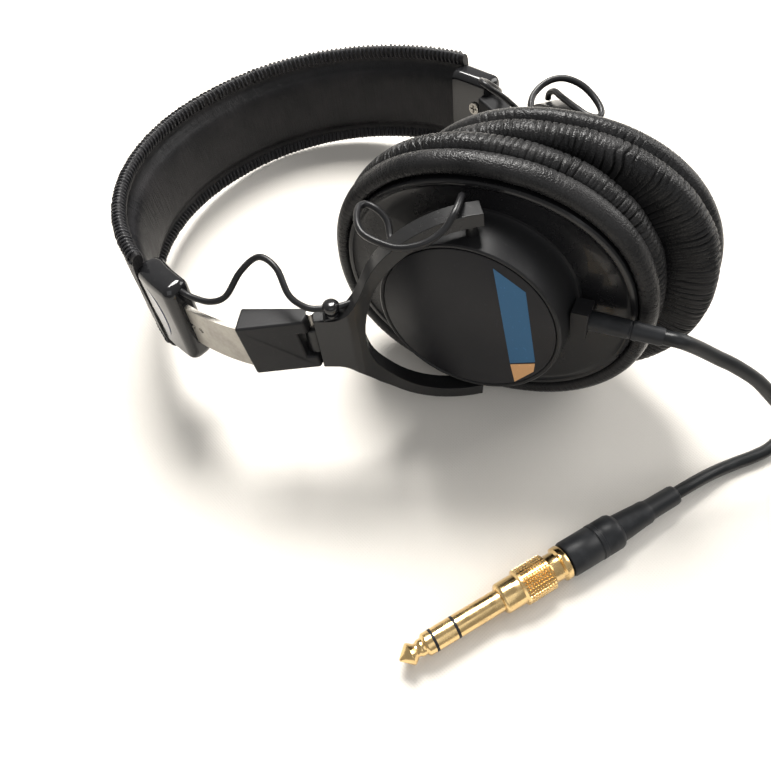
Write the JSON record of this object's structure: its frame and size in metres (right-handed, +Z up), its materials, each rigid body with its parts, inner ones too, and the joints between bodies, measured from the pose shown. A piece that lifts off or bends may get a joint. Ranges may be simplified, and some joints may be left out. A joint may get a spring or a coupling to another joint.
{
  "type": "folding studio headphones",
  "caption": "Closed-back folding headphones with a padded headband, two creased ear pads, a long cord, a small jack plug and a large push-on adapter.",
  "frame": {"origin": "centre of the headphones' own box, on the surface that they lie on", "axes": "+X from the headband's crown to the ear cups, +Y from the left cup to the right cup, +Z up"},
  "size_m": [0.2909, 0.1956, 0.0854],
  "materials": {
    "band_leather": "black leatherette with a fine grain",
    "spring_steel": "rolled spring steel",
    "gloss_black": "glossy black",
    "satin_black": "satin black",
    "bright_steel": "brushed steel",
    "black_metal": "black paint, semi-gloss",
    "disc_black": "satin charcoal sheet with printed bars",
    "driver_black": "matte",
    "magnet": "plated",
    "film": "thin film",
    "foam": "open foam under cloth",
    "pad_leather": "soft creased black leatherette",
    "wire_rubber": "smooth black sleeving",
    "cord_rubber": "matte black",
    "tie_fabric": "woven tie",
    "gold": "gold plated"
  },
  "bodies": {
    "left_cup": {"cup_pivots_left": "bright_steel", "ear_housing_left": "satin_black", "name_disc_left": "disc_black", "baffle_left": "satin_black", "driver_ring_left": "driver_black", "driver_magnet_left": "magnet", "diaphragm_left": "film", "damping_foam_left": "foam", "ear_pad_left": "pad_leather", "cup_wire_left": "wire_rubber", "cord_boss": "satin_black", "cord_boot": "cord_rubber", "cord": "cord_rubber", "cord_coil": "cord_rubber", "coil_tie": "tie_fabric", "plug_cord": "cord_rubber", "plug_boot": "cord_rubber", "plug_body": "cord_rubber", "small_plug": "gold"},
    "left_yoke": {"yoke_left": "black_metal", "wire_clip_left": "satin_black", "arm_wire_left": "wire_rubber"},
    "left_arm": {"arm_left": "bright_steel", "hinge_block_left": "satin_black", "fold_pin_left": "bright_steel"},
    "left_band": {"cover_left": "band_leather", "spring_left": "spring_steel", "end_cap_left": "gloss_black", "cap_plate_left": "satin_black", "cap_screw_left": "bright_steel"},
    "left_crown": {"cover_crown_left": "band_leather", "spring_crown_left": "spring_steel"},
    "right_crown": {"cover_crown_right": "band_leather", "spring_crown_right": "spring_steel"},
    "right_band": {"cover_right": "band_leather", "spring_right": "spring_steel", "end_cap_right": "gloss_black", "cap_plate_right": "satin_black", "cap_screw_right": "bright_steel"},
    "right_arm": {"arm_right": "bright_steel", "hinge_block_right": "satin_black", "fold_pin_right": "bright_steel"},
    "right_yoke": {"yoke_right": "black_metal", "wire_clip_right": "satin_black", "arm_wire_right": "wire_rubber"},
    "right_cup": {"cup_pivots_right": "bright_steel", "ear_housing_right": "satin_black", "name_disc_right": "disc_black", "baffle_right": "satin_black", "driver_ring_right": "driver_black", "driver_magnet_right": "magnet", "diaphragm_right": "film", "damping_foam_right": "foam", "ear_pad_right": "pad_leather", "cup_wire_right": "wire_rubber"},
    "adapter": {"adapter_sleeve": "gold", "adapter_insulators": "satin_black", "adapter_ring": "gold", "adapter_tip": "gold"}
  },
  "joints": [
    {"name": "left_tilt", "type": "hinge", "parent": "left_cup", "child": "left_yoke", "pos_m": [0.04451, -0.0107, 0.04466], "axis": [-0.1778, 0.061, 0.9822], "range_deg": [0, 23.4], "deforming": ["cup_wire_left"]},
    {"name": "left_fold", "type": "hinge", "parent": "left_yoke", "child": "left_arm", "pos_m": [0.01867, -0.04623, 0.04219], "axis": [0.1778, -0.061, -0.9822], "range_deg": [0, 78], "deforming": ["arm_wire_left"]},
    {"name": "left_adjust", "type": "hinge", "parent": "left_arm", "child": "left_band", "pos_m": [-0.01825, -0.00156, 0.03273], "axis": [0.1778, -0.061, -0.9822], "range_deg": [-18, 0]},
    {"name": "left_flex", "type": "hinge", "parent": "left_band", "child": "left_crown", "pos_m": [-0.07208, -0.04695, 0.02581], "axis": [-0.1778, 0.061, 0.9822], "range_deg": [0, 39]},
    {"name": "band_spread", "type": "hinge", "parent": "left_crown", "child": "right_crown", "pos_m": [-0.08787, -0.00156, 0.02013], "axis": [-0.1778, 0.061, 0.9822], "range_deg": [0, 14.4]},
    {"name": "right_flex", "type": "hinge", "parent": "right_crown", "child": "right_band", "pos_m": [-0.07344, 0.04464, 0.01987], "axis": [-0.1778, 0.061, 0.9822], "range_deg": [0, 42]},
    {"name": "right_adjust", "type": "hinge", "parent": "right_band", "child": "right_arm", "pos_m": [-0.0183, 0.00214, 0.03249], "axis": [0.1778, -0.061, -0.9822], "range_deg": [0, 18]},
    {"name": "right_fold", "type": "hinge", "parent": "right_arm", "child": "right_yoke", "pos_m": [0.00144, 0.05744, 0.03263], "axis": [0.1778, -0.061, -0.9822], "range_deg": [0, 84], "deforming": ["arm_wire_right"]},
    {"name": "right_tilt", "type": "hinge", "parent": "right_yoke", "child": "right_cup", "pos_m": [0.039, 0.03601, 0.04076], "axis": [-0.1778, 0.061, 0.9822], "range_deg": [0, 16.8], "deforming": ["cup_wire_right"]},
    {"name": "adapter_pull", "type": "slide", "parent": "left_cup", "child": "adapter", "axis": [-0.2588, -0.9659, 0], "range_m": [0, 0.022]}
  ],
  "couplings": [
    {"joint": "left_tilt", "follows": "left_fold", "ratio": 0.3},
    {"joint": "left_flex", "follows": "left_fold", "ratio": 0.5},
    {"joint": "band_spread", "follows": "right_adjust", "ratio": 0.8},
    {"joint": "right_flex", "follows": "right_fold", "ratio": 0.5},
    {"joint": "right_tilt", "follows": "right_fold", "ratio": 0.2}
  ]
}
